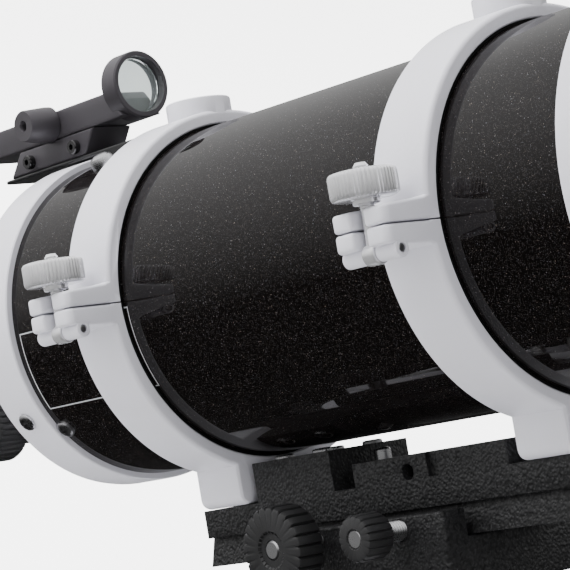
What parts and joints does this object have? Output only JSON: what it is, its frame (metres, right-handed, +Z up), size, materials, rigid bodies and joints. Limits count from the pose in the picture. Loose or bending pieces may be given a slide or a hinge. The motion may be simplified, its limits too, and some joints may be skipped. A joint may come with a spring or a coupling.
{
  "type": "equatorial mount",
  "caption": "Equatorial mount head with a latitude yoke, two axes, counterweight and dovetail saddle, carrying a short refractor in hinged tube rings.",
  "frame": {"origin": "centre of the flat underside of the azimuth base, which bolts to a tripod head or pier", "axes": "+Z up; +X towards the celestial pole side, so the polar axis lies in the X-Z plane 35 degrees above +X; -Y is the side with the ring clamps"},
  "size_m": [0.6152, 0.1905, 0.6145],
  "materials": {
    "white_powder_coat": "cast aluminium, white powder coat with a fine orange-peel texture",
    "black_flake_paint": "aluminium, gloss black paint with fine silver metal flake",
    "black_crinkle_paint": "aluminium, crinkle-finish black paint",
    "bright_chrome": "bright plated, lightly worn",
    "zinc_steel": "nickel or zinc plated",
    "black_plastic": "moulded black with a fine grain",
    "satin_aluminium": "satin anodised",
    "dark_grey_finder": "dark grey anodised",
    "coated_glass": "clear with a green-violet coating",
    "white_cast_iron": "white powder coat over cast iron"
  },
  "bodies": {
    "base": {"azimuth_base": "white_powder_coat"},
    "yoke": {"yoke": "white_powder_coat", "latitude_pivot_left": "zinc_steel", "latitude_pivot_right": "zinc_steel"},
    "azimuth_knob_left": {"azimuth_knob_left": "black_plastic"},
    "azimuth_knob_right": {"azimuth_knob_right": "black_plastic"},
    "latitude_bolt_front": {"latitude_bolt_front": "black_plastic"},
    "latitude_bolt_rear": {"latitude_bolt_rear": "black_plastic"},
    "polar": {"ra_housing": "white_powder_coat", "polar_cap": "black_plastic"},
    "ra_circle": {"ra_setting_circle": "satin_aluminium"},
    "ra_slow_motion": {"ra_slow_motion": "black_plastic"},
    "ra_lock": {"ra_lock_lever": "bright_chrome"},
    "ra_axis": {"ra_shaft": "zinc_steel", "dec_housing": "white_powder_coat", "counterweight_shaft": "zinc_steel", "counterweight_stop": "black_plastic"},
    "dec_circle": {"dec_setting_circle": "satin_aluminium"},
    "dec_slow_motion": {"dec_slow_motion": "black_plastic"},
    "dec_lock": {"dec_lock_lever": "bright_chrome"},
    "counterweight": {"counterweight": "white_cast_iron"},
    "counterweight_screw": {"counterweight_screw": "black_plastic"},
    "saddle": {"dec_shaft": "zinc_steel", "saddle": "black_crinkle_paint"},
    "saddle_clamp": {"saddle_clamp_knob": "black_plastic"},
    "saddle_safety": {"saddle_safety_knob": "black_plastic"},
    "cradle": {"dovetail_plate": "black_crinkle_paint", "stop_stud": "zinc_steel", "ring_rear_lower": "white_powder_coat", "ring_rear_hinge_pin": "zinc_steel", "ring_rear_cross_pin": "zinc_steel", "ring_rear_bolt": "zinc_steel", "ring_front_lower": "white_powder_coat", "ring_front_hinge_pin": "zinc_steel", "ring_front_cross_pin": "zinc_steel", "ring_front_bolt": "zinc_steel"},
    "ring_rear_upper": {"ring_rear_upper": "white_powder_coat"},
    "ring_front_upper": {"ring_front_upper": "white_powder_coat"},
    "ring_rear_bolt": {"ring_rear_swing_bolt": "bright_chrome"},
    "ring_front_bolt": {"ring_front_swing_bolt": "bright_chrome"},
    "ring_rear_knob": {"ring_rear_clamp_knob": "bright_chrome"},
    "ring_front_knob": {"ring_front_clamp_knob": "bright_chrome"},
    "tube": {"tube": "black_flake_paint", "rear_flange": "white_powder_coat", "dew_shield": "white_powder_coat", "lens_cell": "black_flake_paint", "lens": "coated_glass", "lens_retaining_ring": "black_flake_paint", "focuser_body": "black_flake_paint", "finder_shoe": "black_plastic", "finder_clamp": "dark_grey_finder", "finder_body": "dark_grey_finder", "finder_window": "coated_glass"},
    "drawtube": {"drawtube": "satin_aluminium"},
    "focus_shaft": {"focus_shaft": "zinc_steel", "focus_knob_left": "black_plastic", "focus_knob_right": "black_plastic"},
    "diagonal": {"star_diagonal": "black_plastic", "eyepiece": "black_plastic"},
    "finder_knob": {"finder_knob": "black_plastic"}
  },
  "joints": [
    {"name": "azimuth", "type": "hinge", "parent": "base", "child": "yoke", "pos_m": [0, 0, 0.022], "axis": [0, 0, 1], "range_deg": [-6, 6]},
    {"name": "azimuth_knob_left_travel", "type": "slide", "parent": "yoke", "child": "azimuth_knob_left", "axis": [0, 1, 0], "range_m": [-0.0071, 0.0071]},
    {"name": "azimuth_knob_right_travel", "type": "slide", "parent": "yoke", "child": "azimuth_knob_right", "axis": [0, 1, 0], "range_m": [-0.0071, 0.0071]},
    {"name": "latitude", "type": "hinge", "parent": "yoke", "child": "polar", "pos_m": [0, 0, 0.14], "axis": [0, -1, 0], "range_deg": [-15, 15]},
    {"name": "latitude_bolt_front_travel", "type": "slide", "parent": "yoke", "child": "latitude_bolt_front", "axis": [1, 0, 0], "range_m": [-0.0205, 0.0205]},
    {"name": "latitude_bolt_rear_travel", "type": "slide", "parent": "yoke", "child": "latitude_bolt_rear", "axis": [1, 0, 0], "range_m": [-0.0205, 0.0205]},
    {"name": "ra_circle_turn", "type": "hinge", "parent": "polar", "child": "ra_circle", "pos_m": [0.04178, 0, 0.16925], "axis": [0.8192, 0, 0.5736], "continuous": true},
    {"name": "ra_slow_motion_turn", "type": "hinge", "parent": "polar", "child": "ra_slow_motion", "pos_m": [0.05178, 0, 0.13231], "axis": [0, 1, 0], "continuous": true},
    {"name": "ra_lock", "type": "hinge", "parent": "polar", "child": "ra_lock", "pos_m": [0.01122, 0, 0.18326], "axis": [-0.5736, 0, 0.8192], "range_deg": [-25, 25]},
    {"name": "right_ascension", "type": "hinge", "parent": "polar", "child": "ra_axis", "pos_m": [0, 0, 0.14], "axis": [0.8192, 0, 0.5736], "range_deg": [-90, 90]},
    {"name": "dec_circle_turn", "type": "hinge", "parent": "ra_axis", "child": "dec_circle", "pos_m": [0.04988, 0, 0.25183], "axis": [-0.5736, 0, 0.8192], "continuous": true},
    {"name": "dec_slow_motion_turn", "type": "hinge", "parent": "ra_axis", "child": "dec_slow_motion", "pos_m": [0.08551, 0, 0.25847], "axis": [0, 1, 0], "continuous": true},
    {"name": "dec_lock", "type": "hinge", "parent": "ra_axis", "child": "dec_lock", "pos_m": [0.07913, 0.027, 0.21005], "axis": [0, 1, 0], "range_deg": [-40, 40]},
    {"name": "counterweight_slide", "type": "slide", "parent": "ra_axis", "child": "counterweight", "axis": [-0.5736, 0, 0.8192], "range_m": [-0.02, 0.07]},
    {"name": "counterweight_screw_turn", "type": "hinge", "parent": "counterweight", "child": "counterweight_screw", "pos_m": [0.17893, -0.06, 0.06752], "axis": [0, 1, 0], "continuous": true},
    {"name": "declination", "type": "hinge", "parent": "ra_axis", "child": "saddle", "pos_m": [0.08601, 0, 0.20023], "axis": [-0.5736, 0, 0.8192], "continuous": true},
    {"name": "saddle_clamp_turn", "type": "hinge", "parent": "saddle", "child": "saddle_clamp", "pos_m": [0.00469, -0.05, 0.27452], "axis": [0, 1, 0], "continuous": true},
    {"name": "saddle_safety_turn", "type": "hinge", "parent": "saddle", "child": "saddle_safety", "pos_m": [0.04401, -0.05, 0.30205], "axis": [0, 1, 0], "continuous": true},
    {"name": "dovetail_slide", "type": "slide", "parent": "saddle", "child": "cradle", "axis": [0.8192, 0, 0.5736], "range_m": [-0.03, 0.03]},
    {"name": "ring_rear_open", "type": "hinge", "parent": "cradle", "child": "ring_rear_upper", "pos_m": [-0.11365, 0.081, 0.32289], "axis": [0.8192, 0, 0.5736], "range_deg": [-0.2, 0]},
    {"name": "ring_rear_bolt_swing", "type": "hinge", "parent": "cradle", "child": "ring_rear_bolt", "pos_m": [-0.10849, -0.092, 0.31551], "axis": [0.8192, 0, 0.5736], "range_deg": [0, 100]},
    {"name": "ring_rear_knob_turn", "type": "hinge", "parent": "ring_rear_bolt", "child": "ring_rear_knob", "pos_m": [-0.12226, -0.092, 0.33517], "axis": [-0.5736, 0, 0.8192], "continuous": true},
    {"name": "ring_front_open", "type": "hinge", "parent": "cradle", "child": "ring_front_upper", "pos_m": [0.03904, 0.081, 0.4298], "axis": [0.8192, 0, 0.5736], "range_deg": [-0.2, 0]},
    {"name": "ring_front_bolt_swing", "type": "hinge", "parent": "cradle", "child": "ring_front_bolt", "pos_m": [0.0442, -0.092, 0.42243], "axis": [0.8192, 0, 0.5736], "range_deg": [0, 100]},
    {"name": "ring_front_knob_turn", "type": "hinge", "parent": "ring_front_bolt", "child": "ring_front_knob", "pos_m": [0.03043, -0.092, 0.44209], "axis": [-0.5736, 0, 0.8192], "continuous": true},
    {"name": "tube_slide", "type": "slide", "parent": "cradle", "child": "tube", "axis": [0.8192, 0, 0.5736], "range_m": [-0.06, 0.008]},
    {"name": "focus", "type": "slide", "parent": "tube", "child": "drawtube", "axis": [-0.8192, 0, -0.5736], "range_m": [0, 0.05]},
    {"name": "focus_shaft_turn", "type": "hinge", "parent": "tube", "child": "focus_shaft", "pos_m": [-0.19808, 0, 0.22239], "axis": [0, -1, 0], "range_deg": [0, 720]},
    {"name": "diagonal_turn", "type": "hinge", "parent": "drawtube", "child": "diagonal", "pos_m": [-0.26667, 0, 0.21574], "axis": [0.8192, 0, 0.5736], "continuous": true},
    {"name": "finder_knob_turn", "type": "hinge", "parent": "tube", "child": "finder_knob", "pos_m": [-0.244, -0.015, 0.34551], "axis": [0, 1, 0], "continuous": true}
  ],
  "couplings": [
    {"joint": "azimuth_knob_left_travel", "follows": "azimuth", "m_per_rad": -0.066},
    {"joint": "azimuth_knob_right_travel", "follows": "azimuth", "m_per_rad": -0.066},
    {"joint": "latitude_bolt_front_travel", "follows": "latitude", "m_per_rad": 0.076},
    {"joint": "latitude_bolt_rear_travel", "follows": "latitude", "m_per_rad": 0.076},
    {"joint": "focus_shaft_turn", "follows": "focus", "rad_per_m": 250}
  ]
}
